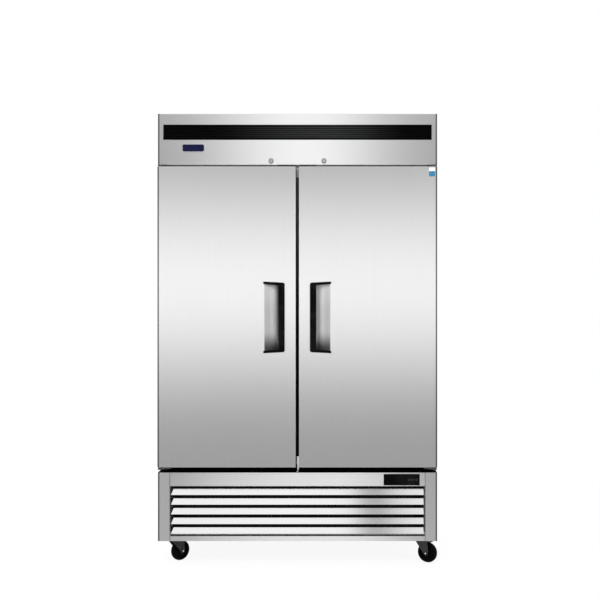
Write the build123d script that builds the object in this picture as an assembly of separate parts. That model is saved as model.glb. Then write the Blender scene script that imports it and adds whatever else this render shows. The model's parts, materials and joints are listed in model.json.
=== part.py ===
from build123d import *
import os

# Two-section reach-in refrigerator, bottom-mounted machine, on casters.
# Millimetres. Origin on the floor under the middle of the cabinet, +Z up, doors face -Y.

# ---- overall ----
width = 1300.0
depth = 800.0
height = 2110.0
base_z = 120.0                    # underside of the cabinet, on casters
half_w = width / 2
back_y = depth / 2
trim_y = -depth / 2               # face of the handle trims, the foremost surface
sheet = 1.5                       # outer sheet metal
fold_r = 2.5                      # outer radius of the folded front edges

# ---- planes from front to back ----
door_y = trim_y + 3               # door face
door_back_y = -335.0
frame_y = -323.0                  # face the gaskets close against
panel_y = -375.0                  # face of the header and of the machine base

# ---- doors ----
door_low_z = 467.0
door_top_z = 1861.0
door_in_x = 7.5                   # door edge at the centre gap
door_out_x = half_w - 2
hinge_x = half_w - 18
hinge_y = door_y + 27
pin_r = 5.0
running = 0.05                    # radial running clearance
gasket_w = 24.0
gasket_in_x = 12.0
gasket_out_x = half_w - 20
gasket_low_z = 474.0
gasket_top_z = 1853.0

# ---- handles ----
handle_in_x = 58.5
handle_out_x = 157.0
handle_low_z = 996.0
handle_top_z = 1328.0
handle_taper = 5.0                # the frame is this much shorter at its grip side
grip_w = 29.0
arm_tip = 11.0                    # height of the arms at their outer ends
arm_root = 17.5                   # and where they meet the grip
scoop_depth = 34.0

# ---- insulated body ----
deck_z = 440.0                    # underside of the insulated body
cavity_x = 598.0
cavity_low_z = 500.0
cavity_top_z = 2050.0
cavity_back_y = 340.0
liner = 1.0
corner_r = 20.0
opening_top_z = 1826.0
mullion_x = 40.0
mullion_back_y = -270.0
ceiling_front_y = -275.0          # back of the insulated strip over the openings

# ---- header ----
header_low_z = 1871.0
header_return = 14.0              # depth of its turned-back edges
vent_x = 625.0
vent_low_z = 1988.0
vent_top_z = 2059.0
vent_ribs = 6
lock_x = 123.4
lock_z = 1890.0
bezel_r = 12.0
plug_r = 7.0
cam_reach = 36.0
cam_y = -350.0

# ---- machine base ----
base_top_z = 439.0
post_w = 55.0
band_low_z = 376.0
rail_top_z = 143.3
control_x = 485.0
control_w = 168.0
control_low_z = 380.0
control_top_z = 432.5
slats = 5
slat_pitch = 45.2
slat_low_z = 154.0                # front bottom edge of the lowest slat
slat_depth = 15.0
slat_rise = 26.0
slat_hem = 9.0                    # turned-under flange along the bottom edge
slat_left_x = -589.0
slat_right_x = 587.5
slat_mitre = 9.5                  # the left ends lean in by this much towards the rear
slat_strip_xs = (-560.0, -190.0, 190.0, 560.0)
button_xs = (519.0, 536.0, 553.0)

# ---- casters ----
caster_x = half_w - 63
caster_y = 285.0
wheel_r = 47.5
wheel_half_w = 16.0
trail = 30.0
fork_gap = 18.0                   # half the space between the fork legs
leg_t = 3.0
crown_z = 101.05
crown_top_z = 112.0
kingpin_r = 6.0
axle_r = 4.0
pedal_d = 30.0
pedal_z = 103.5

# ---- shelves ----
shelf_zs = (700.0, 1075.0, 1450.0)
shelf_in_x = 14.0
shelf_out_x = 584.0
shelf_front_y = -261.0
shelf_back_y = 318.0
rod_r = 3.0
wire_r = 1.8
wire_pitch = 24.0

# ---- machinery ----
coil_x = (-90.0, 350.0)
fan_x = 130.0
fan_z = 270.0
cond_fan_y = -165.0
cond_fan_r = 110.0
evap_fan_x = 280.0
evap_fan_z = 1958.0
evap_fan_y = -150.0
evap_fan_r = 68.0
shaft_r = 4.0
suction_x = 524.0
liquid_x = 546.0
duct_y = 356.0
port_z = 1985.0
rear_grille_y = back_y - 30


def block(x0, x1, y0, y1, z0, z1):
    """Box between two opposite corners."""
    size = Box(x1 - x0, y1 - y0, z1 - z0)
    return Pos((x0 + x1) / 2, (y0 + y1) / 2, (z0 + z1) / 2) * size


def rod_y(x, y0, y1, z, r):
    return Pos(x, (y0 + y1) / 2, z) * Rot(90, 0, 0) * Cylinder(r, y1 - y0)


def rod_z(x, y, z0, z1, r):
    return Pos(x, y, (z0 + z1) / 2) * Cylinder(r, z1 - z0)


def prism_x(points, x0, x1):
    """An outline of (y, z) points carried along X."""
    face = Plane.YZ * Polygon(*points, align=None)
    return Pos(x0, 0, 0) * extrude(face, x1 - x0, dir=(1, 0, 0))


def prism_y(points, y0, y1):
    """An outline of (x, z) points carried along Y."""
    face = Plane.XZ * Polygon(*points, align=None)
    return Pos(0, y0, 0) * extrude(face, y1 - y0, dir=(0, 1, 0))


def prism_z(points, z0, z1):
    """An outline of (x, y) points carried along Z."""
    face = Plane.XY * Polygon(*points, align=None)
    return Pos(0, 0, z0) * extrude(face, z1 - z0, dir=(0, 0, 1))


def tube(points, bend, r):
    """A round tube or cable along straight runs with rounded bends."""
    path = FilletPolyline(*points, radius=bend)
    return sweep((path ^ 0) * Circle(r), path=path)


def mirrored(solid):
    """The same piece on the other side of the cabinet."""
    return mirror(solid, about=Plane.YZ)


def save(name, *pieces):
    solids = [s for piece in pieces for s in piece.solids()]
    export_step(Compound(children=solids), f"parts/{name}.step")


# ---- cabinet: case ----

def side_panel():
    """Right side sheet, notched beside the doors, with the post flange of the base."""
    outline = [
        (back_y, base_z),
        (panel_y, base_z),
        (panel_y, base_top_z),
        (frame_y, base_top_z),
        (frame_y, header_low_z),
        (panel_y + header_return, header_low_z),
        (panel_y + header_return, height),
        (back_y, height),
    ]
    side = prism_x(outline, half_w - sheet, half_w)
    inner = half_w - post_w
    post = block(inner, half_w, panel_y, panel_y + sheet, base_z, base_top_z)
    post_return = block(inner, inner + sheet, panel_y, panel_y + 20, base_z, base_top_z)
    panel = side + post + post_return
    front_fold = panel.edges().filter_by(Axis.Z).sort_by(lambda e: e.center().Y - e.center().X)[0]
    return fillet(front_fold, fold_r)


def top_panel():
    edge = half_w - sheet
    return block(-edge, edge, panel_y + header_return, back_y, height - sheet, height)


def back_panel():
    edge = half_w - sheet
    return block(-edge, edge, back_y - sheet, back_y, deck_z, height - sheet)


def bottom_deck():
    edge = half_w - sheet
    deck = block(-edge, edge, frame_y, back_y - sheet, deck_z, deck_z + sheet)
    return deck - line_channel()


def cavity_box(grow):
    """The storage space, grown by the liner's thickness for its outer side."""
    x = cavity_x + grow
    y1 = cavity_back_y + grow
    room = block(-x, x, frame_y + sheet, y1, cavity_low_z - grow, cavity_top_z + grow)
    upright = room.edges().filter_by(Axis.Z).sort_by(Axis.Y)[-2:]
    return fillet(upright, corner_r + grow)


def line_channel():
    """Duct in the back wall for the refrigerant lines."""
    return block(suction_x - 14, liquid_x + 14, duct_y - 10, duct_y + 10, deck_z - 10, 2010)


def line_ports(r):
    """Holes from the duct through the liner to the evaporator."""
    return [rod_y(x, 300, duct_y, port_z, r) for x in (suction_x, liquid_x)]


def foam_insulation():
    edge = half_w - sheet
    body = block(-edge, edge, frame_y + sheet, back_y - sheet, deck_z + sheet, height - sheet)
    walls = body - cavity_box(liner) - line_channel() - line_ports(9)
    strip = block(-cavity_x, cavity_x, frame_y + sheet, ceiling_front_y - liner,
                  opening_top_z + liner, cavity_top_z)
    return walls, strip


def inner_liner():
    shell = cavity_box(liner) - cavity_box(0) - line_ports(7)
    back = block(-cavity_x, cavity_x, ceiling_front_y - liner, ceiling_front_y,
                 opening_top_z, cavity_top_z)
    sill = block(-cavity_x, cavity_x, frame_y + sheet, ceiling_front_y - liner,
                 opening_top_z, opening_top_z + liner)
    strip = back + sill - block(-mullion_x, mullion_x, frame_y, mullion_back_y, 1700,
                                opening_top_z + liner)
    return shell, strip


def door_frame():
    """Face the doors close against, with its two openings and the mullion."""
    edge = half_w - sheet
    face = block(-edge, edge, frame_y, frame_y + sheet, deck_z + sheet, header_low_z)
    for side in (-1, 1):
        x0, x1 = sorted((side * mullion_x, side * cavity_x))
        face -= block(x0, x1, frame_y - 1, frame_y + 3, cavity_low_z, opening_top_z)
    mullion = block(-mullion_x, mullion_x, frame_y + sheet, mullion_back_y,
                    cavity_low_z, opening_top_z)
    core = block(-mullion_x + sheet, mullion_x - sheet, frame_y, mullion_back_y - sheet,
                 cavity_low_z + sheet, opening_top_z - sheet)
    return face + (mullion - core)


# ---- cabinet: header ----

def header_panel():
    """Folded sheet over the doors, with the vent and lock openings."""
    edge = half_w - sheet
    back = panel_y + header_return
    pan = block(-half_w, half_w, panel_y, back, header_low_z, height)
    pan = fillet(pan.faces().sort_by(Axis.Y)[0].edges(), fold_r)
    pan -= block(-edge, edge, panel_y + sheet, back + 1, header_low_z + sheet, height - sheet)
    shelf = block(-edge, edge, back - 1, frame_y, header_low_z, header_low_z + sheet)
    panel = pan + shelf
    panel -= block(-vent_x, vent_x, panel_y - 1, panel_y + 3, vent_low_z, vent_top_z)
    for side in (-1, 1):
        panel -= rod_y(side * lock_x, panel_y - 1, panel_y + 3, lock_z, 10)
        x0, x1 = sorted((side * (lock_x - 10), side * (lock_x + 36)))
        panel -= block(x0, x1, cam_y - 7, cam_y + 10, header_low_z - 1, header_low_z + 3)
    return panel


def header_vent_grille():
    """Black box set in the header, with slanted ribs."""
    gap = 0.5
    back = panel_y + 26
    x = vent_x - gap
    z0 = vent_low_z + gap
    z1 = vent_top_z - gap
    wall = 3.0
    grille = block(-x, x, panel_y, back, z0, z1)
    grille -= block(-x + wall, x - wall, panel_y - 1, back - 2, z0 + wall, z1 - wall)
    pitch = (z1 - z0 - 2 * wall) / (vent_ribs + 1)
    for i in range(vent_ribs):
        z = z0 + wall + pitch * (i + 1)
        rib = [
            (panel_y + 2, z - 1),
            (panel_y + 14, z + 5),
            (panel_y + 14, z + 7),
            (panel_y + 2, z + 1.5),
        ]
        grille += prism_x(rib, -x + wall, x - wall)
    return grille


def lock_barrel(x):
    bezel = rod_y(x, panel_y - 4, panel_y, lock_z, bezel_r)
    bezel = fillet(bezel.edges().filter_by(GeomType.CIRCLE).sort_by(Axis.Y)[0], 1.5)
    body = rod_y(x, panel_y, cam_y - 2, lock_z, 9.5)
    return bezel + body - rod_y(x, panel_y - 5, cam_y, lock_z, plug_r + running)


def lock_plug():
    """Right key plug with its cam, which lies level when unlocked."""
    x = lock_x
    plug = rod_y(x, panel_y - 4.5, cam_y, lock_z, plug_r)
    plug -= block(x - 4.5, x + 4.5, panel_y - 5, panel_y - 2, lock_z - 1, lock_z + 1)
    arm = block(x, x + cam_reach - 6, cam_y - 1.5, cam_y + 1.5, lock_z - 6, lock_z + 6)
    tip = rod_y(x + cam_reach - 6, cam_y - 1.5, cam_y + 1.5, lock_z, 6)
    nut = rod_y(x, cam_y, cam_y + 5, lock_z, 6.5)
    return plug + arm + tip + nut


# ---- cabinet: machine base ----

def base_chassis():
    """Folded tray that carries the machinery and the casters."""
    edge = half_w - sheet
    front = panel_y + 24
    back = back_y - 3
    tray = block(-edge, edge, front, back, base_z, base_z + 38)
    tray -= block(-edge + 2, edge - 2, front + 2, back - 2, base_z + 2.5, base_z + 40)
    for x in (-100, 150, 450):
        tray += block(x - 15, x + 15, front + 2, back - 2, base_z + 2, base_z + 5)
    return tray


def grille_frame():
    """Control band, bottom rail and side channels around the louvres."""
    x = half_w - post_w - 1
    frame = block(-x, x, panel_y, panel_y + sheet, base_z + 0.5, base_top_z)
    frame -= block(-x + 1.5, x - 1.5, panel_y - 1, panel_y + 3, rail_top_z, band_low_z)
    frame -= block(control_x - control_w / 2, control_x + control_w / 2,
                   panel_y - 1, panel_y + 3, control_low_z, control_top_z)
    frame += block(-x, x, panel_y, frame_y - 0.5, base_top_z - sheet, base_top_z)
    frame += block(-x, x, panel_y, panel_y + 18, rail_top_z - sheet, rail_top_z)
    frame += block(-x, x, panel_y, panel_y + 18, band_low_z, band_low_z + sheet)
    for side in (-1, 1):
        x0, x1 = sorted((side * (x - sheet), side * x))
        frame += block(x0, x1, panel_y, frame_y - 1, base_z + 40, band_low_z + sheet)
    return frame


def louvre_panel():
    """Five steep slats with turned-under hems on four upright strips; the left ends are mitred."""
    front = panel_y + 1
    rear = front + slat_depth
    back = sheet * 1.12
    hem_top = back + sheet * slat_depth / slat_rise
    mitre = [
        (slat_left_x, front),
        (slat_left_x - 1, 2 * rear - front),
        (slat_left_x + 2 * slat_mitre, 2 * rear - front),
    ]
    panel = None
    for i in range(slats):
        z = slat_low_z + slat_pitch * i
        outline = [
            (front, z),
            (rear, z + slat_rise),
            (rear + back, z + slat_rise),
            (front + hem_top, z + sheet),
            (front + slat_hem, z + sheet),
            (front + slat_hem, z),
        ]
        slat = prism_x(outline, slat_left_x, slat_right_x)
        slat -= prism_z(mitre, z - 1, z + slat_rise + 1)
        panel = slat if panel is None else panel + slat
    strip_low = slat_low_z + 2
    strip_top = slat_low_z + slat_pitch * (slats - 1) + slat_rise
    for x in slat_strip_xs:
        panel += block(x - 10, x + 10, rear + 0.4, rear + 2.4, strip_low, strip_top)
    return panel


def controller_housing():
    """Electronic thermostat set into the control band, with its display window."""
    inset = 0.3
    x0 = control_x - control_w / 2 + inset
    x1 = control_x + control_w / 2 - inset
    front = panel_y - 2
    body = block(x0, x1, front, panel_y + 32, control_low_z + inset, control_top_z - inset)
    body = fillet(body.edges().filter_by(Axis.Y), 2.5)
    body -= block(x0 + 14, x0 + 92, front - 1, front + 1, control_low_z + 12,
                  control_top_z - 12)
    for x in button_xs:
        body -= block(x - 6.3, x + 6.3, front - 1, front + 11, button_z() - 5.3,
                      button_z() + 5.3)
    return body


def button_z():
    return (control_low_z + control_top_z) / 2


def control_button(x):
    """Key with 1.5 mm of height over the housing and room behind to travel."""
    z = button_z()
    cap = block(x - 6, x + 6, panel_y - 3.5, panel_y + 7, z - 5, z + 5)
    return fillet(cap.edges().filter_by(Axis.Y), 1.5)


def rear_grille():
    """Slotted sheet over the machinery at the back."""
    edge = half_w - sheet - 0.5
    y = rear_grille_y
    sheet_metal = block(-edge, edge, y, y + sheet, base_z + 42, deck_z - 1)
    slots = []
    for row in range(3):
        z = base_z + 90 + row * 75
        for i in range(17):
            x = -480 + i * 60
            slots.append(block(x - 6, x + 6, y - 1, y + 3, z - 25, z + 25))
    for x, z in grille_screw_places():
        slots.append(rod_y(x, y - 1, y + 3, z, 2.6))
    return sheet_metal - slots


def grille_screw_places():
    return [(x, z) for x in (-620, 0, 620) for z in (base_z + 52, deck_z - 12)]


def panel_screw(x, z):
    y = rear_grille_y + sheet
    head = rod_y(x, y, y + 2.5, z, 5)
    head = fillet(head.edges().filter_by(GeomType.CIRCLE).sort_by(Axis.Y)[-1], 1.2)
    return head + rod_y(x, y - 10, y, z, 2.5)


def power_cord():
    """Mains cable hung in a flat loop behind the rear grille, with its gland and plug."""
    y = back_y - 14
    gland = block(-532, -508, rear_grille_y + sheet, y + 8, 168, 190)
    run = [
        (-520, y, 190),
        (-520, y, 385),
        (-330, y, 385),
        (-330, y, 240),
        (-500, y, 240),
        (-500, y, 365),
        (-350, y, 365),
        (-350, y, 280),
    ]
    cable = tube(run, 12, 4.5)
    plug = block(-366, -334, y - 12, y + 12, 245, 280)
    plug = fillet(plug.edges().filter_by(Axis.Z), 5)
    return gland, cable, plug


# ---- cabinet: refrigeration ----

def compressor():
    """Hermetic shell on a foot plate with rubber mounts and a terminal box."""
    x, y = -280, 60
    z = base_z + 2.6
    shell = Pos(x, y, z + 122) * Cylinder(85, 190)
    rims = shell.edges().filter_by(GeomType.CIRCLE).sort_by(Axis.Z)
    shell = fillet(rims[-1], 55)
    shell = fillet(shell.edges().filter_by(GeomType.CIRCLE).sort_by(Axis.Z)[0], 25)
    feet = block(x - 110, x + 110, y - 80, y + 80, z + 24, z + 30)
    for dx in (-92, 92):
        for dy in (-62, 62):
            feet += rod_z(x + dx, y + dy, z, z + 24, 14)
    box = block(x + 60, x + 112, y - 40, y + 40, z + 80, z + 150)
    return shell + feet + box


def finned_coil(x0, x1, y0, y1, z0, z1, pitch):
    """Upright fins between end plates, joined by a spine, with return bends."""
    coil = block(x0, x1, y0, y1, z0, z1)
    count = int((x1 - x0 - 8) / pitch)
    mid = (y0 + y1) / 2
    gaps = []
    for i in range(count):
        x = x0 + 4 + pitch * i
        gaps.append(block(x, x + pitch - 1.2, y0 - 1, mid - 3, z0 + 2, z1 - 2))
        gaps.append(block(x, x + pitch - 1.2, mid + 3, y1 + 1, z0 + 2, z1 - 2))
    coil -= gaps
    rows = int((z1 - z0) / 50)
    for i in range(rows):
        z = z0 + 25 + 50 * i
        for end, lean in ((x0, -1), (x1, 1)):
            ring = Pos(end, mid, z) * Rot(90, 0, 0) * Torus(12, 4.5)
            keep = block(*sorted((end - lean * 0.5, end + lean * 30)), y0, y1, z - 30, z + 30)
            coil += ring & keep
    return coil


def condenser_coil():
    return finned_coil(coil_x[0], coil_x[1], -300, -235, base_z + 12, base_z + 272, 11)


def condenser_fan_shroud():
    """Ring plate behind the condenser with the fan motor on three arms."""
    x0, x1 = coil_x
    plate = block(x0, x1, -234, -228, base_z + 12, base_z + 292)
    plate += block(x0, x0 + 3, -228, -150, base_z + 12, base_z + 292)
    plate += block(x1 - 3, x1, -228, -150, base_z + 12, base_z + 292)
    plate -= rod_y(fan_x, -240, -220, fan_z, cond_fan_r + 8)
    motor = rod_y(fan_x, cond_fan_y + 22, cond_fan_y + 85, fan_z, 38)
    shaft = rod_y(fan_x, cond_fan_y - 16, cond_fan_y + 22, fan_z, shaft_r)
    arm = block(x0, x1, cond_fan_y + 60, cond_fan_y + 66, fan_z - 12, fan_z + 12)
    ends = block(x0, x0 + 3, -151, cond_fan_y + 66, fan_z - 12, fan_z + 12)
    ends += block(x1 - 3, x1, -151, cond_fan_y + 66, fan_z - 12, fan_z + 12)
    return plate + motor + shaft + arm + ends


def fan(x, y, z, r, blades, half_hub):
    """Axial fan with pitched blades on a bored hub; its axis is along Y."""
    hub_r = r * 0.26
    rotor = rod_y(x, y - half_hub, y + half_hub, z, hub_r)
    for i in range(blades):
        blade = Pos(r * 0.6, 0, 0) * Rot(28, 0, 0) * Box(r * 0.86, 2, r * 0.62)
        rotor += Pos(x, y, z) * Rot(0, 360 / blades * i, 0) * blade
    rotor = rotor & rod_y(x, y - 40, y + 40, z, r)
    return rotor - rod_y(x, y - 50, y + 50, z, shaft_r + running)


def condensate_pan():
    x0, x1, y0, y1 = -90, 350, 60, 330
    z = base_z + 6
    pan = block(x0, x1, y0, y1, z, z + 45)
    return pan - block(x0 + 2, x1 - 2, y0 + 2, y1 - 2, z + 2, z + 50)


def refrigerant_lines():
    """Discharge line to the condenser, liquid and suction lines up the back wall."""
    bend = 8
    discharge = tube([(-280, 60, 340.5), (-280, 60, 420), (-280, -267, 420),
                      (-120, -267, 420), (-120, -267, 332), (-91, -267, 332)], bend, 4)
    suction = tube([(-310, 90, 342), (-310, 90, 400), (-310, duct_y, 400),
                    (suction_x, duct_y, 400), (suction_x, duct_y, port_z),
                    (suction_x, 205, port_z), (500.5, 205, port_z)], bend, 6)
    liquid = tube([(351, -267, 182), (420, -267, 182), (420, duct_y, 182),
                   (liquid_x, duct_y, 182), (liquid_x, duct_y, port_z),
                   (liquid_x, 160, port_z), (500.5, 160, port_z)], bend, 3.5)
    return discharge, suction, liquid


def evaporator_housing():
    """Ceiling unit: drain pan, fan plate, end plates and the two fan motors."""
    x = 500
    z0 = 1870
    z1 = cavity_top_z - 0.5
    front = -190
    back = 260
    pan = block(-x, x, front, back, z0, z0 + 22)
    pan -= block(-x + 1.5, x - 1.5, front + 2, back - 2, z0 + 1.5, z0 + 30)
    plate = block(-x, x, front, front + 2, z0, z1)
    ends = block(-x, -x + 2, front, back, z0, z1) + block(x - 2, x, front, back, z0, z1)
    unit = pan + plate + ends
    for side in (-1, 1):
        cx = side * evap_fan_x
        unit -= rod_y(cx, front - 5, front + 5, evap_fan_z, evap_fan_r + 6)
        unit += rod_y(cx, evap_fan_y + 18, evap_fan_y + 60, evap_fan_z, 26)
        unit += rod_y(cx, evap_fan_y - 12, evap_fan_y + 18, evap_fan_z, shaft_r)
        unit += block(cx - 8, cx + 8, evap_fan_y + 40, evap_fan_y + 44, evap_fan_z, z1)
    for side in (-1, 1):
        cx = side * evap_fan_x
        unit += block(cx - 30, cx + 30, evap_fan_y + 20, evap_fan_y + 60, z1 - 2, z1)
    strap = block(-x, x, evap_fan_y + 38, evap_fan_y + 46, z1 - 4, z1)
    return unit + strap


def evaporator_coil():
    return finned_coil(-455, 455, 20, 150, 1896, 2040, 14)


def interior_lamp():
    """Bar lamp on the inner face of the strip over the openings."""
    lamp = block(-240, 240, ceiling_front_y, ceiling_front_y + 22, 1834, 1856)
    return fillet(lamp.edges().filter_by(Axis.X).sort_by(Axis.Y)[-2:], 8)


# ---- cabinet: shelves ----

def pilaster_places():
    """Centre and outward direction (x, y) of each shelf upright."""
    places = []
    for side in (-1, 1):
        places.append((side * cavity_x, -225, side, 0))
        places.append((side * cavity_x, 275, side, 0))
        places.append((side * 24, mullion_back_y, 0, -1))
        places.append((side * 24, cavity_back_y, 0, 1))
    return places


def upright_bar(x, y, dx, dy, reach0, reach1, half, z0, z1):
    """Block standing from a wall at x, y; dx, dy point into that wall."""
    xs = sorted((x - dx * reach0, x - dx * reach1)) if dx else (x - half, x + half)
    ys = sorted((y - dy * reach0, y - dy * reach1)) if dy else (y - half, y + half)
    return block(xs[0], xs[1], ys[0], ys[1], z0, z1)


def shelf_pilasters():
    return [upright_bar(*place, 0.05, 4, 9, 530, 1800) for place in pilaster_places()]


def shelf_clips():
    clips = []
    for place in pilaster_places():
        for z in shelf_zs:
            top = z - rod_r
            tab = upright_bar(*place, 4, 20, 6, top - 4, top)
            heel = upright_bar(*place, 4, 8, 6, top - 22, top)
            clips.append(tab + heel)
    return clips


def wire_shelf(z):
    """Right-hand shelf: a frame of bars with thinner wires across their tops."""
    x0, x1 = shelf_in_x, shelf_out_x
    y0, y1 = shelf_front_y, shelf_back_y + 2 * rod_r
    bar = 2 * rod_r
    frame = block(x0, x1, y0, y1, z - rod_r, z + rod_r)
    frame -= block(x0 + bar, x1 - bar, y0 + bar, y1 - bar, z - bar, z + bar)
    for y in (y0 + 190, y0 + 385):
        frame += block(x0, x1, y - rod_r, y + rod_r, z - rod_r, z + rod_r)
    count = int((x1 - x0 - 30) / wire_pitch)
    start = (x0 + x1 - wire_pitch * (count - 1)) / 2
    low, top = z + rod_r, z + rod_r + 2 * wire_r
    for i in range(count):
        x = start + wire_pitch * i
        frame += block(x - wire_r, x + wire_r, y0 + 1, y1 - 1, low, top)
    return frame


# ---- hinges and casters ----

def hinge_bracket_pair():
    """Right top and bottom hinge plates, each with its pin."""
    front = hinge_y - 18
    top_low = door_top_z + 4
    top = block(hinge_x - 20, door_out_x, front, frame_y - 0.05, top_low, top_low + 4)
    top += block(hinge_x - 20, door_out_x, -345, frame_y - 0.05, top_low, header_low_z)
    top += rod_z(hinge_x, hinge_y, door_top_z - 24, top_low, pin_r)
    low = door_low_z - 1.5
    wedge = [
        (door_out_x - 1, low - 12),
        (door_out_x - 1, low - 2),
        (door_out_x - 63, low - 2),
        (door_out_x - 63, low - 5),
    ]
    bottom = prism_y(wedge, front, frame_y - 0.05)
    bottom += rod_z(hinge_x, hinge_y, low - 6, door_low_z + 26, pin_r)
    return top, bottom


def hinge_bushes():
    """Right door: flanged bushes the pins turn in."""
    bore = pin_r + running
    top = rod_z(hinge_x, hinge_y, door_top_z - 28, door_top_z, 8)
    top += rod_z(hinge_x, hinge_y, door_top_z, door_top_z + 2, 11)
    top -= rod_z(hinge_x, hinge_y, door_top_z - 26, door_top_z + 3, bore)
    low = rod_z(hinge_x, hinge_y, door_low_z, door_low_z + 30, 8)
    low += rod_z(hinge_x, hinge_y, door_low_z - 3, door_low_z, 11)
    low -= rod_z(hinge_x, hinge_y, door_low_z - 4, door_low_z + 28, bore)
    return top, low


def caster_plate(x, y):
    """Bolted top plate with the kingpin and its retaining head."""
    plate = block(x - 48, x + 48, y - 38, y + 38, base_z - 4, base_z)
    plate = fillet(plate.edges().filter_by(Axis.Z), 6)
    plate += rod_z(x, y, crown_top_z + running, base_z - 4, 22)
    plate += rod_z(x, y, crown_z - 4.05, base_z - 4, kingpin_r)
    plate += rod_z(x, y, crown_z - 4.05, crown_z - 0.05, 10)
    for dx in (-38, 38):
        for dy in (-28, 28):
            plate += rod_z(x + dx, y + dy, base_z - 8, base_z - 4, 6)
    return plate


def fork_leg(side):
    """Tapered leg in the fork's own frame: +X is the trail direction, wheel across Y."""
    crown = [(-25, crown_z + 5), (-25, crown_z), (trail - 11, wheel_r - 3)]
    toe = [(trail + 9, wheel_r - 8), (trail + 12, wheel_r + 4), (pedal_d + 7, crown_z - 4),
           (pedal_d + 7, pedal_z + 5)]
    y0 = fork_gap if side > 0 else -fork_gap - leg_t
    leg = prism_y(crown + toe, y0, y0 + leg_t)
    leg += rod_y(trail, y0, y0 + leg_t, wheel_r, 11)
    return leg - rod_y(trail, y0 - 1, y0 + leg_t + 1, wheel_r, axle_r)


def caster_fork(braked):
    """Fork with its raceway crown, the wheel bolt and, on a braked one, the pedal pin."""
    reach = fork_gap + leg_t
    fork = block(-25, 17, -reach, reach, crown_z, crown_z + 5)
    fork += rod_z(0, 0, crown_z, crown_top_z, 24)
    fork += fork_leg(1) + fork_leg(-1)
    fork -= rod_z(0, 0, crown_z - 1, crown_top_z + 1, kingpin_r + running)
    if braked:
        fork += rod_y(pedal_d, -reach - 2, reach + 2, pedal_z, 2.5)
    bolt = rod_y(trail, -reach - 4, reach + 4, wheel_r, axle_r)
    bolt += rod_y(trail, -reach - 5, -reach, wheel_r, 7)
    nut = Pos(trail, reach + 3, wheel_r) * Rot(90, 0, 0) * extrude(
        RegularPolygon(7, 6), 3, both=True)
    return fork, bolt + nut


def caster_wheel():
    """Wheel turned about its axle: hub, web and rounded tread."""
    web = 7
    profile = [
        (axle_r + running, -fork_gap + 0.2),
        (13, -fork_gap + 0.2),
        (14, -web),
        (31, -web),
        (34, -wheel_half_w + 2),
        (wheel_r - 7, -wheel_half_w),
        (wheel_r - 2.5, -wheel_half_w + 5),
        (wheel_r, -4),
    ]
    outline = profile + [(r, -across) for r, across in reversed(profile)]
    face = Plane.XY * Polygon(*outline, align=None)
    turned = revolve(face, axis=Axis.Y)
    return Pos(trail, 0, wheel_r) * turned


def brake_pedal():
    """Foot pedal between the fork legs; its shoe hangs over the tread."""
    half = fork_gap - 0.5
    hub = rod_y(pedal_d, -half, half, pedal_z, 4.6)
    plate = prism_y([(pedal_d, pedal_z + 4.5), (pedal_d, pedal_z), (52, pedal_z - 3),
                     (60, pedal_z - 1), (61, pedal_z + 3), (52, pedal_z + 1.5)], -half, half)
    shoe = prism_y([(36, pedal_z), (36, 98.6), (42, 97.6), (44, pedal_z - 1)], -12, 12)
    pedal = hub + plate + shoe
    return pedal - rod_y(pedal_d, -half - 1, half + 1, pedal_z, 2.5 + running)


def casters():
    """Name, place and rest heading in degrees of each caster; the front two have brakes."""
    return [
        ("front_left", -caster_x, -caster_y, 45),
        ("front_right", caster_x, -caster_y, -30),
        ("rear_left", -caster_x, caster_y, 210),
        ("rear_right", caster_x, caster_y, 150),
    ]


# ---- right door, mirrored for the left one ----

def scoop(grow):
    """Finger recess: deep under the grip, running out to the face at its far side."""
    deep = door_y + scoop_depth + grow
    low = handle_low_z + 6 - grow
    top = handle_top_z - 6 + grow
    outline = [
        (handle_in_x + 4 - grow, door_y - 2),
        (handle_in_x + 4 - grow, deep - 8),
        (handle_in_x + 12 - grow, deep),
        (handle_in_x + 34, deep),
        (handle_out_x - 3 + grow * 2, door_y + 2 + grow),
        (handle_out_x - 3 + grow * 2, door_y - 2),
    ]
    return prism_z(outline, low, top)


def lock_slot(z0, z1):
    return block(lock_x - 10, lock_x + 30, cam_y - 7, cam_y + 10, z0, z1)


def door_skin():
    """Outer pan with turned edges and the pressed finger scoop."""
    back = door_back_y - sheet
    pan = block(door_in_x, door_out_x, door_y, back, door_low_z, door_top_z)
    face_edges = pan.faces().sort_by(Axis.Y)[0].edges()
    pan = fillet(face_edges, fold_r)
    hollow = block(door_in_x + sheet, door_out_x - sheet, door_y + sheet, back + 1,
                   door_low_z + sheet, door_top_z - sheet)
    press = scoop(sheet) & block(0, half_w, door_y, back, 0, height)
    skin = pan - hollow + press - scoop(0)
    skin -= rod_z(hinge_x, hinge_y, door_top_z - 5, door_top_z + 5, 8.1)
    skin -= rod_z(hinge_x, hinge_y, door_low_z - 5, door_low_z + 5, 8.1)
    return skin - lock_slot(door_top_z - 5, door_top_z + 5)


def door_foam():
    inner = block(door_in_x + sheet, door_out_x - sheet, door_y + sheet, door_back_y - sheet,
                  door_low_z + sheet, door_top_z - sheet)
    foam = inner - scoop(sheet + 0.1)
    foam -= rod_z(hinge_x, hinge_y, door_top_z - 30, door_top_z + 5, 8.1)
    foam -= rod_z(hinge_x, hinge_y, door_low_z - 5, door_low_z + 32, 8.1)
    return foam - lock_slot(door_top_z - 12, door_top_z + 5)


def door_liner():
    """Back sheet of the door, pressed out inside the gasket."""
    back = door_back_y
    plate = block(door_in_x, door_out_x, back - sheet, back, door_low_z, door_top_z)
    x0, x1, z0, z1 = 56, 586, 518, 1809
    plate += block(x0, x1, back - sheet, back + 5, z0, z1)
    return plate - block(x0 + sheet, x1 - sheet, back - 3, back + 3.5, z0 + sheet, z1 - sheet)


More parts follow.
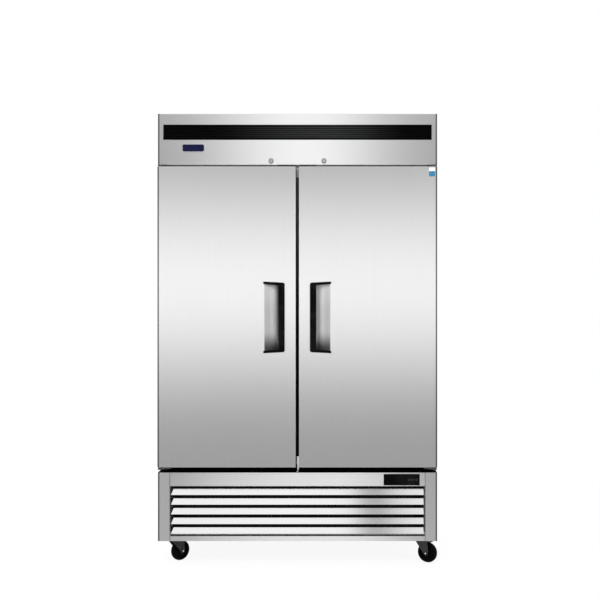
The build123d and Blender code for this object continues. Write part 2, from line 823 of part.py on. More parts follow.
def door_gasket():
    """Magnetic seal: a base strip and a fuller lip, mitred in one loop."""
    def loop(inset, y0, y1, w):
        outer = block(gasket_in_x + inset, gasket_out_x - inset, y0, y1,
                      gasket_low_z + inset, gasket_top_z - inset)
        inner = block(gasket_in_x + inset + w, gasket_out_x - inset - w, y0 - 1, y1 + 1,
                      gasket_low_z + inset + w, gasket_top_z - inset - w)
        return outer - inner
    lip = loop(0, door_back_y + 5, frame_y - 0.5, gasket_w)
    neck = loop(6, door_back_y + 0.05, door_back_y + 5, gasket_w - 12)
    return lip + neck


def handle_trim():
    """Black frame of the finger scoop: a broad grip bar and two tapering arms."""
    z0, z1 = handle_low_z, handle_top_z
    t = handle_taper
    face_in = handle_in_x + grip_w
    outline = [
        (handle_in_x, z0 + t),
        (handle_out_x, z0),
        (handle_out_x, z0 + arm_tip),
        (face_in, z0 + arm_root),
        (face_in, z1 - arm_root),
        (handle_out_x, z1 - arm_tip),
        (handle_out_x, z1),
        (handle_in_x, z1 - t),
    ]
    trim = prism_y(outline, trim_y, door_y - 0.02)
    corners = trim.edges().filter_by(Axis.Y).sort_by(Axis.X)[:2]
    trim = fillet(corners, 10)
    hook = block(handle_in_x + 6, face_in - 6, door_y - 1, door_y + 9, z0 + 20, z1 - 20)
    return trim + hook


def save_case():
    side = side_panel()
    save("side_panels", side, mirrored(side))
    save("top_panel", top_panel())
    save("back_panel", back_panel())
    save("bottom_deck", bottom_deck())
    save("foam_insulation", *foam_insulation())
    save("inner_liner", *inner_liner())
    save("door_frame", door_frame())
    save("header_panel", header_panel())
    save("header_vent_grille", header_vent_grille())
    save("lock_barrels", lock_barrel(lock_x), lock_barrel(-lock_x))


def save_base():
    save("base_chassis", base_chassis())
    save("grille_frame", grille_frame())
    save("louvre_panel", louvre_panel())
    save("controller_housing", controller_housing())
    for name, x in zip(("set", "down", "up"), button_xs):
        save(f"control_button_{name}", control_button(x))
    save("rear_grille", rear_grille())
    save("panel_screws", *[panel_screw(x, z) for x, z in grille_screw_places()])
    save("power_cord", *power_cord())


def save_machinery():
    save("compressor", compressor())
    save("condenser_coil", condenser_coil())
    save("condenser_fan_shroud", condenser_fan_shroud())
    save("condenser_fan", fan(fan_x, cond_fan_y, fan_z, cond_fan_r, 5, 14))
    save("condensate_pan", condensate_pan())
    save("refrigerant_lines", *refrigerant_lines())
    save("evaporator_housing", evaporator_housing())
    save("evaporator_coil", evaporator_coil())
    for name, side in (("left", -1), ("right", 1)):
        rotor = fan(side * evap_fan_x, evap_fan_y, evap_fan_z, evap_fan_r, 4, 10)
        save(f"evaporator_fan_{name}", rotor)
    save("interior_lamp", interior_lamp())


def save_shelves():
    save("shelf_pilasters", *shelf_pilasters())
    save("shelf_clips", *shelf_clips())
    first = wire_shelf(0)
    shelves = [Pos(0, 0, z) * first for z in shelf_zs]
    save("wire_shelves", *shelves, *[mirrored(shelf) for shelf in shelves])


def save_casters():
    save("caster_plates", *[caster_plate(x, y) for _, x, y, _ in casters()])
    for name, x, y, heading in casters():
        place = Pos(x, y, 0) * Rot(0, 0, heading)
        braked = name.startswith("front")
        save(f"caster_fork_{name}", *[place * piece for piece in caster_fork(braked)])
        save(f"caster_wheel_{name}", place * caster_wheel())
        if braked:
            save(f"brake_pedal_{name}", place * brake_pedal())


def save_doors():
    brackets = hinge_bracket_pair()
    save("hinge_brackets", *brackets, *[mirrored(piece) for piece in brackets])
    pieces = {
        "skin": [door_skin()],
        "foam": [door_foam()],
        "liner": [door_liner()],
        "gasket": [door_gasket()],
        "handle_trim": [handle_trim()],
        "hinge_bushes": hinge_bushes(),
    }
    for name, solids in pieces.items():
        save(f"door_right_{name}", *solids)
        save(f"door_left_{name}", *[mirrored(solid) for solid in solids])
    save("lock_plug_right", lock_plug())
    save("lock_plug_left", mirrored(lock_plug()))


os.makedirs("parts", exist_ok=True)
save_case()
save_base()
save_machinery()
save_shelves()
save_casters()
save_doors()
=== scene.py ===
import json
import math

import bmesh
import bpy
from mathutils import Matrix, Vector


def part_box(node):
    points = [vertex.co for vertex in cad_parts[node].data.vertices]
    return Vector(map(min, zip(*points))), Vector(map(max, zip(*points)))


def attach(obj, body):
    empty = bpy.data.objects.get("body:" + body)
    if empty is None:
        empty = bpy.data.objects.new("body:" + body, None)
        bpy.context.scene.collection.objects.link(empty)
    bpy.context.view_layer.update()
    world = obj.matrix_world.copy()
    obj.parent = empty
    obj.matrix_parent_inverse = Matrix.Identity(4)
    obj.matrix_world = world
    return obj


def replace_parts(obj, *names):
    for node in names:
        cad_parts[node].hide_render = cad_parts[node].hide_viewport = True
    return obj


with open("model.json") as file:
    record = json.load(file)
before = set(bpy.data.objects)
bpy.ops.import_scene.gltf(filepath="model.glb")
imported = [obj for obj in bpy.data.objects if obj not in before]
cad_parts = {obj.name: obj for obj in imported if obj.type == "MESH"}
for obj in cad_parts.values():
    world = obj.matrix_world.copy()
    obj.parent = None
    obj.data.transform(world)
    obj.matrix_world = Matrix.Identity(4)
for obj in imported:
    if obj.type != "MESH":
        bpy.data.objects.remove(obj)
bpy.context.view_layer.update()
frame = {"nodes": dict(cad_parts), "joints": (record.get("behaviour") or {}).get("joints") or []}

# Looks of a two-section stainless reach-in refrigerator. Metres, +Z up, the doors face -Y.

scene = bpy.context.scene
joints = {joint["name"]: joint for joint in frame["joints"]}

# ---- planes and corners of the frame ----

case_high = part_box("side_panels")[1]
grille_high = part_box("grille_frame")[1]
skin_low, skin_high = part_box("door_right_skin")
trim_low, trim_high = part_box("door_right_handle_trim")
louvre_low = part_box("louvre_panel")[0]
gasket_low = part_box("door_right_gasket")[0]
bracket_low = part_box("hinge_brackets")[0]
frame_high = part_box("door_frame")[1]
frame_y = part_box("door_frame")[0].y       # the face that the gaskets close against
panel_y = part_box("header_panel")[0].y     # the face of the header and of the machine base
base_top = grille_high.z                  # top of the machine base
ledge_z = base_top + 0.0018               # top of the black strip on it
louvre_top = 0.3795                       # top of the opening behind the louvres
slat_back_y = louvre_low.y + 0.015        # the steel faces of the slats end here
grip_x = trim_low.x + 0.029               # outer side of the handle's grip


# ---- helpers for shader nodes ----

def new_tree(name):
    """An empty node material with its output node."""
    mat = bpy.data.materials.new(name)
    mat.use_nodes = True
    tree = mat.node_tree
    tree.nodes.clear()
    out = tree.nodes.new("ShaderNodeOutputMaterial")
    return mat, tree, out


def put(tree, socket, value):
    """Links an output to a socket, or sets the socket's own value."""
    if isinstance(value, bpy.types.NodeSocket):
        tree.links.new(value, socket)
    else:
        socket.default_value = value


def add(tree, kind, inputs=None, **settings):
    """A node with its settings, and inputs given by name or number."""
    node = tree.nodes.new(kind)
    for key, value in settings.items():
        setattr(node, key, value)
    for key, value in (inputs or {}).items():
        put(tree, node.inputs[key], value)
    return node


def maths(tree, operation, a, b=0.0, c=0.0):
    """The result of one arithmetic operation. Only MULTIPLY_ADD takes c."""
    inputs = {0: a, 1: b}
    if operation == "MULTIPLY_ADD":
        inputs[2] = c
    return add(tree, "ShaderNodeMath", inputs, operation=operation).outputs[0]


def product(tree, a, b):
    return maths(tree, "MULTIPLY", a, b)


def remap(tree, value, low, high, to_low, to_high, smooth=True):
    """The value moved from one range to another, held at the ends."""
    kind = "SMOOTHSTEP" if smooth else "LINEAR"
    node = add(tree, "ShaderNodeMapRange",
               {"Value": value, "From Min": low, "From Max": high, "To Min": to_low, "To Max": to_high},
               interpolation_type=kind, clamp=True)
    return node.outputs[0]


def place_coords(tree):
    """Coordinates in the part's own frame, in metres."""
    return add(tree, "ShaderNodeTexCoord").outputs["Object"]


def axes(tree, coords):
    """The x, y and z of coordinates."""
    return add(tree, "ShaderNodeSeparateXYZ", {0: coords}).outputs


def stretched(tree, coords, scale):
    return add(tree, "ShaderNodeMapping", {"Vector": coords, "Scale": scale}).outputs[0]


def noise(tree, coords, scale=1.0, detail=3.0, roughness=0.5):
    node = add(tree, "ShaderNodeTexNoise",
               {"Vector": coords, "Scale": scale, "Detail": detail, "Roughness": roughness})
    return node.outputs[0]


def tint(tree, factor, dark, light):
    """A colour between two, by factor."""
    node = add(tree, "ShaderNodeMix", {0: factor, 6: (*dark, 1), 7: (*light, 1)}, data_type="RGBA")
    return node.outputs[2]


def towards(tree, colour, amount, other):
    """The colour taken towards another one by an amount."""
    return add(tree, "ShaderNodeMix", {0: amount, 6: colour, 7: other}, data_type="RGBA").outputs[2]


def darkened(tree, colour, amount, dark=0.06):
    """The colour taken towards a dark grey."""
    return towards(tree, colour, amount, (dark, dark, dark * 1.02, 1))


def scaled(tree, colour, factor):
    return add(tree, "ShaderNodeVectorMath", {0: colour, "Scale": factor}, operation="SCALE").outputs[0]


def bump(tree, height, strength, distance):
    inputs = {"Height": height, "Strength": strength, "Distance": distance}
    return add(tree, "ShaderNodeBump", inputs).outputs[0]


def surface(tree, out, inputs):
    """A principled surface on the material's output."""
    shader = add(tree, "ShaderNodeBsdfPrincipled", inputs)
    tree.links.new(shader.outputs[0], out.inputs["Surface"])


# ---- materials ----

def brushed_steel(name, grain, tone=0.64, rough=0.28, shade=None, satin=None):
    """Stainless sheet brushed along the grain axis: hair-fine streaks, faint bands and smudges."""
    mat, tree, out = new_tree(name)
    coords = place_coords(tree)
    along = "XYZ".index(grain)
    fine = [1600.0, 1600.0, 1600.0]
    fine[along] = 9.0
    broad = [130.0, 130.0, 130.0]
    broad[along] = 1.1
    streak = noise(tree, stretched(tree, coords, fine), detail=3.0)
    band = noise(tree, stretched(tree, coords, broad), detail=4.0)
    smudge = noise(tree, coords, scale=3.1, detail=4.0, roughness=0.6)
    mixed = maths(tree, "MULTIPLY_ADD", streak, 0.75, product(tree, band, 0.25))
    dark = tone * 0.975
    light = tone * 1.025
    colour = tint(tree, remap(tree, mixed, 0.3, 0.7, 0, 1, smooth=False),
                  (dark, dark, dark * 1.004), (light, light, light * 1.004))
    if shade is not None:
        colour = shade(tree, coords, colour)
    roughness = maths(tree, "MULTIPLY_ADD", mixed, 0.03, rough - 0.015)
    roughness = maths(tree, "MULTIPLY_ADD", remap(tree, smudge, 0.45, 0.75, 0, 1), 0.012, roughness)
    anisotropic = 1.0
    metallic = 1.0
    if satin is not None:
        amount = satin(tree, coords)
        satin_rough = 0.62
        roughness = add(tree, "ShaderNodeMix", {0: amount, 2: roughness, 3: satin_rough}).outputs[0]
        anisotropic = maths(tree, "MULTIPLY_ADD", amount, -1.0, 1.0)
        metallic = maths(tree, "MULTIPLY_ADD", amount, -0.75, 1.0)
    across = {0: 0.0, 1: 0.0, 2: 1.0} if grain == "X" else {0: 1.0, 1: 0.0, 2: 0.0}
    tangent = add(tree, "ShaderNodeCombineXYZ", across).outputs[0]
    surface(tree, out, {"Base Color": colour, "Metallic": metallic, "Roughness": roughness,
                        "Anisotropic": anisotropic, "Tangent": tangent,
                        "Normal": bump(tree, streak, 0.04, 0.0001)})
    return mat


def galvanised(name, base=0.55):
    """Zinc coated sheet with a faint crystal spangle."""
    mat, tree, out = new_tree(name)
    coords = place_coords(tree)
    warp = noise(tree, coords, scale=30.0, detail=2.0)
    cells = add(tree, "ShaderNodeTexVoronoi", {"Vector": coords, "Scale": 75.0})
    crystal = add(tree, "ShaderNodeSeparateColor", {0: cells.outputs["Color"]}).outputs[0]
    factor = maths(tree, "MULTIPLY_ADD", crystal, 0.6, product(tree, warp, 0.4))
    colour = tint(tree, factor, (base * 0.88, base * 0.89, base * 0.91),
                  (base * 1.08, base * 1.09, base * 1.1))
    surface(tree, out, {"Base Color": colour, "Metallic": 0.85,
                        "Roughness": maths(tree, "MULTIPLY_ADD", crystal, 0.12, 0.34),
                        "Normal": bump(tree, warp, 0.06, 0.001)})
    return mat


def moulded_plastic(name, colour, rough=0.5, depth=0.25, specular=0.5):
    """Moulded plastic with a fine pebbled skin and slight handling marks."""
    mat, tree, out = new_tree(name)
    coords = place_coords(tree)
    pebble = noise(tree, coords, scale=900.0, detail=2.0)
    marks = noise(tree, coords, scale=14.0, detail=4.0, roughness=0.65)
    light = tuple(min(1.0, c * 1.6 + 0.004) for c in colour)
    surface(tree, out, {"Base Color": tint(tree, remap(tree, marks, 0.4, 0.75, 0, 1), colour, light),
                        "Roughness": maths(tree, "MULTIPLY_ADD", marks, 0.16, rough - 0.08),
                        "Specular IOR Level": specular,
                        "Normal": bump(tree, pebble, depth, 0.0002)})
    return mat


def vent_plastic(name):
    """Black plastic of the ribbed vent: a painted sheen, a painted reflection, greys the fronts of the ribs
    around the middle; the rib backs stay dark as painted shade.
    """
    mat, tree, out = new_tree(name)
    coords = place_coords(tree)
    x, y, _ = axes(tree, coords)
    marks = noise(tree, stretched(tree, coords, (3.0, 60.0, 60.0)), detail=4.0, roughness=0.6)
    front = remap(tree, y, panel_y + 0.003, panel_y + 0.010, 1.0, 0.1)
    # painted sheen: a reflection of the bright studio ahead, strongest right of the middle, on the rib fronts
    # only
    left_end, most, right_end = -0.42, 0.15, 0.52
    painted_sheen = product(tree, remap(tree, x, left_end, most, 0, 1), remap(tree, x, most, right_end, 1, 0))
    factor = product(tree, product(tree, painted_sheen, front), maths(tree, "MULTIPLY_ADD", marks, 0.5, 0.75))
    surface(tree, out, {"Base Color": tint(tree, factor, (0.0018, 0.0018, 0.0019), (0.042, 0.044, 0.044)),
                        "Roughness": maths(tree, "MULTIPLY_ADD", marks, 0.1, 0.4),
                        "Specular IOR Level": 0.07,
                        "Normal": bump(tree, marks, 0.1, 0.0002)})
    return mat


def rubber(name, colour, rough=0.62, specular=0.3):
    """Dusty rubber with a fine matt skin."""
    mat, tree, out = new_tree(name)
    coords = place_coords(tree)
    dust = noise(tree, coords, scale=26.0, detail=5.0, roughness=0.7)
    skin = noise(tree, coords, scale=420.0, detail=2.0)
    light = tuple(c * 2.4 for c in colour)
    surface(tree, out, {"Base Color": tint(tree, remap(tree, dust, 0.5, 0.8, 0, 1), colour, light),
                        "Roughness": maths(tree, "MULTIPLY_ADD", dust, 0.15, rough - 0.07),
                        "Specular IOR Level": specular,
                        "Normal": bump(tree, skin, 0.3, 0.0003)})
    return mat


def gap_strip(name):
    """Strip in the gap between the doors: near black as painted shade, greyer towards the top as painted
    light.
    """
    mat, tree, out = new_tree(name)
    coords = place_coords(tree)
    cloud = noise(tree, coords, scale=30.0, detail=3.0)
    # painted light: greyer towards the top of the gap
    painted_light_high = remap(tree, axes(tree, coords)[2], 1.0, 1.82, 0, 1)
    factor = product(tree, painted_light_high, maths(tree, "MULTIPLY_ADD", cloud, 0.4, 0.8))
    surface(tree, out, {"Base Color": tint(tree, factor, (0.008, 0.008, 0.008), (0.20, 0.20, 0.20)),
                        "Roughness": 0.8, "Specular IOR Level": 0.1})
    return mat


def enamel(name, colour, rough=0.4, specular=0.5, coat=0.2):
    """Sprayed enamel with a slight orange peel and scuffed high spots."""
    mat, tree, out = new_tree(name)
    coords = place_coords(tree)
    peel = noise(tree, coords, scale=160.0, detail=2.0)
    scuff = noise(tree, coords, scale=45.0, detail=5.0, roughness=0.7)
    light = tuple(min(1.0, c * 1.8 + 0.01) for c in colour)
    surface(tree, out, {"Base Color": tint(tree, remap(tree, scuff, 0.55, 0.8, 0, 1), colour, light),
                        "Roughness": maths(tree, "MULTIPLY_ADD", scuff, 0.2, rough - 0.08),
                        "Specular IOR Level": specular, "Coat Weight": coat,
                        "Normal": bump(tree, peel, 0.12, 0.0004)})
    return mat


def plated(name, colour, rough=0.3):
    """Bright plating with fine turning marks and faint stains."""
    mat, tree, out = new_tree(name)
    coords = place_coords(tree)
    stain = noise(tree, coords, scale=60.0, detail=4.0)
    fine = noise(tree, coords, scale=1400.0, detail=1.0)
    dark = tuple(c * 0.8 for c in colour)
    surface(tree, out, {"Base Color": tint(tree, stain, dark, colour), "Metallic": 1.0,
                        "Roughness": maths(tree, "MULTIPLY_ADD", stain, 0.14, rough - 0.05),
                        "Normal": bump(tree, fine, 0.05, 0.0002)})
    return mat


def stucco_liner(name):
    """Embossed aluminium liner sheet."""
    mat, tree, out = new_tree(name)
    coords = place_coords(tree)
    cells = add(tree, "ShaderNodeTexVoronoi", {"Vector": coords, "Scale": 210.0}, feature="SMOOTH_F1")
    cloud = noise(tree, coords, scale=4.0, detail=3.0)
    surface(tree, out, {"Base Color": tint(tree, cloud, (0.72, 0.73, 0.74), (0.80, 0.81, 0.82)),
                        "Metallic": 0.75, "Roughness": maths(tree, "MULTIPLY_ADD", cloud, 0.15, 0.30),
                        "Normal": bump(tree, cells.outputs["Distance"], 0.35, 0.0008)})
    return mat


def foam_skin(name):
    """Yellowed skin of poured insulation."""
    mat, tree, out = new_tree(name)
    coords = place_coords(tree)
    cell = add(tree, "ShaderNodeTexVoronoi", {"Vector": coords, "Scale": 300.0}).outputs["Distance"]
    cloud = noise(tree, coords, scale=9.0, detail=4.0)
    surface(tree, out, {"Base Color": tint(tree, cloud, (0.62, 0.50, 0.28), (0.82, 0.72, 0.47)),
                        "Roughness": 0.85, "Normal": bump(tree, cell, 0.5, 0.001)})
    return mat


def opal(name):
    """Ribbed milky lamp cover."""
    mat, tree, out = new_tree(name)
    coords = place_coords(tree)
    cloud = noise(tree, coords, scale=8.0, detail=2.0)
    ribs = add(tree, "ShaderNodeTexWave", {"Vector": coords, "Scale": 90.0}).outputs[1]
    surface(tree, out, {"Base Color": tint(tree, cloud, (0.85, 0.85, 0.82), (0.93, 0.93, 0.90)),
                        "Roughness": 0.35, "Subsurface Weight": 0.15,
                        "Normal": bump(tree, ribs, 0.15, 0.0006)})
    return mat


# ---- how the steel varies from place to place ----

def fold_shade(tree, coords, colour, face_y, edge_x):
    """The folded outer edges of a front face are painted dark from the front: a painted reflection of dark
    surroundings in the folds.
    """
    x, y, _ = axes(tree, coords)
    facing = remap(tree, y, face_y + 0.004, face_y + 0.006, 1, 0)
    edge = remap(tree, maths(tree, "ABSOLUTE", x), edge_x - 0.0085, edge_x - 0.0055, 0, 0.92)
    return darkened(tree, colour, product(tree, facing, edge))


def case_shade(tree, coords, colour):
    """Folded edges painted dark as painted reflection, and the fine joints between the base panels and their
    posts.
    """
    colour = fold_shade(tree, coords, colour, panel_y, case_high.x)
    x, y, z = axes(tree, coords)
    facing = remap(tree, y, panel_y + 0.001, panel_y + 0.002, 1, 0)
    in_base = remap(tree, z, base_top + 0.006, base_top + 0.011, 1, 0)
    joint_x = grille_high.x + 0.0005
    off = maths(tree, "ABSOLUTE", maths(tree, "SUBTRACT", maths(tree, "ABSOLUTE", x), joint_x))
    joint = product(tree, remap(tree, off, 0.0008, 0.0018, 0.75, 0), product(tree, facing, in_base))
    return darkened(tree, colour, joint)


def base_shade(tree, coords, colour):
    """As the case, with painted reflection brightening the middle and right of the base, and painted shade
    blackening the channels behind the louvres.
    """
    x, y, z = axes(tree, coords)
    # painted reflection: brighter across the middle, most to the right
    middle = remap(tree, maths(tree, "ABSOLUTE", x), 0.36, 0.60, 1.11, 0.95)
    right = remap(tree, x, 0.0, 0.22, 1.0, 1.08)
    colour = case_shade(tree, coords, scaled(tree, colour, product(tree, middle, right)))
    # painted shade: the channels behind the louvres go black
    behind = remap(tree, y, panel_y + 0.0006, panel_y + 0.0014, 0, 0.97)
    in_opening = remap(tree, z, louvre_top - 0.001, louvre_top, 1, 0)
    return darkened(tree, colour, product(tree, behind, in_opening), 0.004)


def slat_shade(tree, coords, colour):
    """The backs and upright strips of the louvre panel, seen through the gaps, are coloured near black as
    painted shade.
    """
    behind = remap(tree, axes(tree, coords)[1], slat_back_y, slat_back_y + 0.0003, 0, 1)
    return towards(tree, colour, behind, (0.004, 0.004, 0.004, 1))


def in_scoop(tree, coords):
    """1 inside the finger scoops, which are pressed and satin finished, and 0 on the door faces."""
    x, y, _ = axes(tree, coords)
    deep = remap(tree, y, skin_low.y + 0.0015, skin_low.y + 0.004, 0, 1)
    near = remap(tree, maths(tree, "ABSOLUTE", x), trim_high.x + 0.013, trim_high.x + 0.023, 1, 0)
    return product(tree, deep, near)


def door_shade(tree, coords, colour):
    """Finger scoops are duller; painted light lifts them near the grip, high up and a touch to the right, and
    painted shade darkens them towards the outer side, in a narrow band beside the grip and towards their
    lower ends.
    """
    colour = fold_shade(tree, coords, colour, skin_low.y, skin_high.x)
    x, _, z = axes(tree, coords)
    inside = in_scoop(tree, coords)
    away = maths(tree, "ABSOLUTE", x)
    right = remap(tree, x, -0.05, 0.05, 0, 1)
    outer = remap(tree, away, grip_x + 0.0175, trim_high.x - 0.020, 0, 1)
    # painted shade and light: the scoop's tone darker towards the outer side, lighter near the grip
    pressed = tint(tree, outer, (0.56, 0.56, 0.565), (0.34, 0.34, 0.345))
    # painted light: brighter high up and a touch to the right
    high = remap(tree, z, trim_low.z + 0.19, trim_high.z - 0.03, 1.0, 1.22)
    gleam = product(tree, high, maths(tree, "MULTIPLY_ADD", right, 0.04, 1.0))
    colour = towards(tree, colour, inside, scaled(tree, pressed, gleam))
    # painted shade towards the lower ends and in a narrow band beside the grip
    low = remap(tree, z, trim_low.z + 0.02, trim_low.z + 0.11, 0.95, 0)
    from_grip = maths(tree, "MULTIPLY_ADD", right, 0.008, away)
    beside = remap(tree, from_grip, grip_x + 0.001, grip_x + 0.0175, 0.9, 0)
    return darkened(tree, colour, product(tree, inside, maths(tree, "MAXIMUM", low, beside)), 0.02)


# ---- the finishes, and which node has which ----

door_steel = brushed_steel("stainless_doors", "Z", shade=door_shade, satin=in_scoop)
case_steel = brushed_steel("stainless_case", "Z", tone=0.72, shade=case_shade)
header_steel = brushed_steel("stainless_header", "X", shade=case_shade)
base_steel = brushed_steel("stainless_base", "X", tone=0.70, rough=0.41, shade=base_shade)
slat_steel = brushed_steel("stainless_slats", "X", tone=0.585, rough=0.135, shade=slat_shade)
tab_steel = brushed_steel("stainless_tab", "X", tone=0.56, rough=0.30)
black = moulded_plastic("black_plastic", (0.0015, 0.0015, 0.0016), specular=0.03)
vent_black = vent_plastic("vent_plastic")
key_black = moulded_plastic("key_plastic", (0.010, 0.010, 0.011), specular=0.12)
pit_black = moulded_plastic("shadow_black", (0.0012, 0.0012, 0.0013), rough=0.8, specular=0.02)
white_print = moulded_plastic("white_film", (0.72, 0.72, 0.72), depth=0.05)
blue_print = moulded_plastic("blue_film", (0.008, 0.115, 0.24), depth=0.05)
zinc = galvanised("zinc_sheet")
pale_zinc = galvanised("hinge_zinc", base=0.66)
liner_sheet = stucco_liner("liner_sheet")
foam = foam_skin("foam")
seal = rubber("seal_rubber", (0.03, 0.03, 0.032))
tyre = rubber("wheel_rubber", (0.0015, 0.0015, 0.0016), rough=0.6, specular=0.04)
filter_mat = rubber("filter_mesh", (0.003, 0.003, 0.003), rough=0.9)
cable = rubber("cable_rubber", (0.02, 0.02, 0.02))
gap_painted_shade = gap_strip("gap_painted_shade")
black_enamel = enamel("black_enamel", (0.022, 0.022, 0.023), rough=0.33, specular=0.25, coat=0.0)
dark_zinc = enamel("dark_zinc", (0.045, 0.045, 0.047), specular=0.3, coat=0.0)
navy = enamel("navy_enamel", (0.0035, 0.0045, 0.026), rough=0.35, specular=0.08, coat=0.0)
pale_tab = enamel("pale_tab", (0.85, 0.85, 0.86))
shelf_coat = enamel("shelf_coating", (0.62, 0.63, 0.64))
chrome = plated("bright_plating", (0.72, 0.72, 0.74), rough=0.18)
bezel_metal = plated("bezel_plating", (0.30, 0.30, 0.31))
plug_metal = plated("plug_plating", (0.50, 0.50, 0.51), rough=0.25)
bolt_steel = plated("bolt_steel", (0.6, 0.6, 0.62))
copper = plated("copper_tube", (0.70, 0.38, 0.24), rough=0.28)
aluminium = plated("fin_aluminium", (0.72, 0.73, 0.75), rough=0.38)
lens = opal("lamp_lens")

node_materials = {
    "side_panels": case_steel, "top_panel": zinc, "back_panel": zinc, "bottom_deck": zinc,
    "foam_insulation": foam, "inner_liner": liner_sheet, "door_frame": case_steel,
    "header_panel": header_steel, "header_vent_grille": vent_black, "lock_barrels": bezel_metal,
    "base_chassis": zinc, "grille_frame": base_steel, "louvre_panel": slat_steel,
    "controller_housing": black, "rear_grille": zinc, "panel_screws": bolt_steel,
    "power_cord": cable, "compressor": black_enamel, "condenser_coil": aluminium,
    "condenser_fan_shroud": zinc, "condensate_pan": zinc, "refrigerant_lines": copper,
    "evaporator_housing": liner_sheet, "evaporator_coil": aluminium, "interior_lamp": lens,
    "shelf_pilasters": pale_zinc, "shelf_clips": pale_zinc, "wire_shelves": shelf_coat,
    "hinge_brackets": dark_zinc, "caster_plates": black_enamel, "condenser_fan": black,
}
prefix_materials = {
    "control_button": key_black, "evaporator_fan": black, "caster_fork": black_enamel,
    "caster_wheel": tyre, "brake_pedal": black_enamel, "lock_plug": plug_metal,
}
door_materials = {
    "skin": door_steel, "foam": foam, "liner": liner_sheet, "gasket": seal,
    "handle_trim": black, "hinge_bushes": black,
}


def material_for(name):
    """The finish of a node: by its own name, as part of a door, or by the start of its name."""
    if name in node_materials:
        return node_materials[name]
    for side in ("door_left_", "door_right_"):
        if name.startswith(side):
            return door_materials[name[len(side):]]
    for prefix, mat in prefix_materials.items():
        if name.startswith(prefix):
            return mat
    raise KeyError(name)


for name, node in frame["nodes"].items():
    node.data.materials.clear()
    node.data.materials.append(material_for(name))


# ---- mesh helpers ----

def mesh_object(name, builder, mat, body):
    """A piece from a bmesh builder, riding on a body."""
    mesh = bpy.data.meshes.new(name)
    bm = bmesh.new()
    builder(bm)
    bmesh.ops.recalc_face_normals(bm, faces=bm.faces)
    bm.to_mesh(mesh)
    bm.free()
    mesh.materials.append(mat)
    obj = bpy.data.objects.new(name, mesh)
    scene.collection.objects.link(obj)
    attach(obj, body)
    return obj


def bevelled(obj, width):
    """Rounds the sharp edges of a piece."""
    bevel = obj.modifiers.new("bevel", "BEVEL")
    bevel.width = width
    bevel.segments = 3
    bevel.limit_method = "ANGLE"
    bevel.angle_limit = math.radians(35)


def add_block(bm, low, high):
    """A closed box between two opposite corners."""
    low, high = Vector(low), Vector(high)
    scale = Matrix.Diagonal((*(high - low), 1))
    bmesh.ops.create_cube(bm, size=1.0, matrix=Matrix.Translation((low + high) / 2) @ scale)


def add_prism_y(bm, outline, y0, y1):
    """An outline of (x, z) points carried along Y, closed at both ends."""
    front = [bm.verts.new((x, y0, z)) for x, z in outline]
    back = [bm.verts.new((x, y1, z)) for x, z in outline]
    bm.faces.new(front)
    bm.faces.new(back[::-1])
    for i in range(len(outline)):
        bm.faces.new((front[i - 1], front[i], back[i], back[i - 1]))


def rounded_outline(x0, x1, z0, z1, r, steps=8):
    """Corner-rounded rectangle as (x, z) points."""
    points = []
    centres = ((x1 - r, z1 - r), (x0 + r, z1 - r), (x0 + r, z0 + r), (x1 - r, z0 + r))
    for quarter, (cx, cz) in enumerate(centres):
        for i in range(steps + 1):
            angle = math.pi / 2 * (quarter + i / steps)
            points.append((cx + r * math.cos(angle), cz + r * math.sin(angle)))
    return points


def add_wire(bm, points, radius, normal, closed=False, sides=10):
    """A round wire along points that lie in a plane with the given normal."""
    points = [Vector(p) for p in points]
    normal = Vector(normal)
    count = len(points)
    rings = []
    for i, point in enumerate(points):
        before = points[i - 1] if closed or i > 0 else point
        after = points[(i + 1) % count] if closed or i < count - 1 else point
        side = (after - before).normalized().cross(normal)
        ring = []
        for k in range(sides):
            angle = math.tau * k / sides
            ring.append(bm.verts.new(point + radius * (math.cos(angle) * normal + math.sin(angle) * side)))
        rings.append(ring)
    for i in range(count if closed else count - 1):
        here, there = rings[i], rings[(i + 1) % count]
        for k in range(sides):
            after = (k + 1) % sides
            face = bm.faces.new((here[k], here[after], there[after], there[k]))
            face.smooth = True
    if not closed:
        bm.faces.new(rings[0])
        bm.faces.new(rings[-1][::-1])


def add_dome(bm, centre, axis, profile, segments=20):
    """A turned cap: (radius, height) pairs spun about an axis, ending on the axis."""
    across = axis.cross(Vector((0, 0, 1))).normalized()
    upward = axis.cross(across)
    rings = []
    for r, h in profile[:-1]:
        ring = []
        for k in range(segments):
            angle = math.tau * k / segments
            offset = r * (math.cos(angle) * across + math.sin(angle) * upward)
            ring.append(bm.verts.new(centre + h * axis + offset))
        rings.append(ring)
    tip = bm.verts.new(centre + profile[-1][1] * axis)
    bm.faces.new(rings[0])
    for here, there in zip(rings, rings[1:]):
        for k in range(segments):
            face = bm.faces.new((here[k - 1], here[k], there[k], there[k - 1]))
            face.smooth = True
    for k in range(segments):
        face = bm.faces.new((rings[-1][k - 1], rings[-1][k], tip))
        face.smooth = True


# ---- pieces made here ----

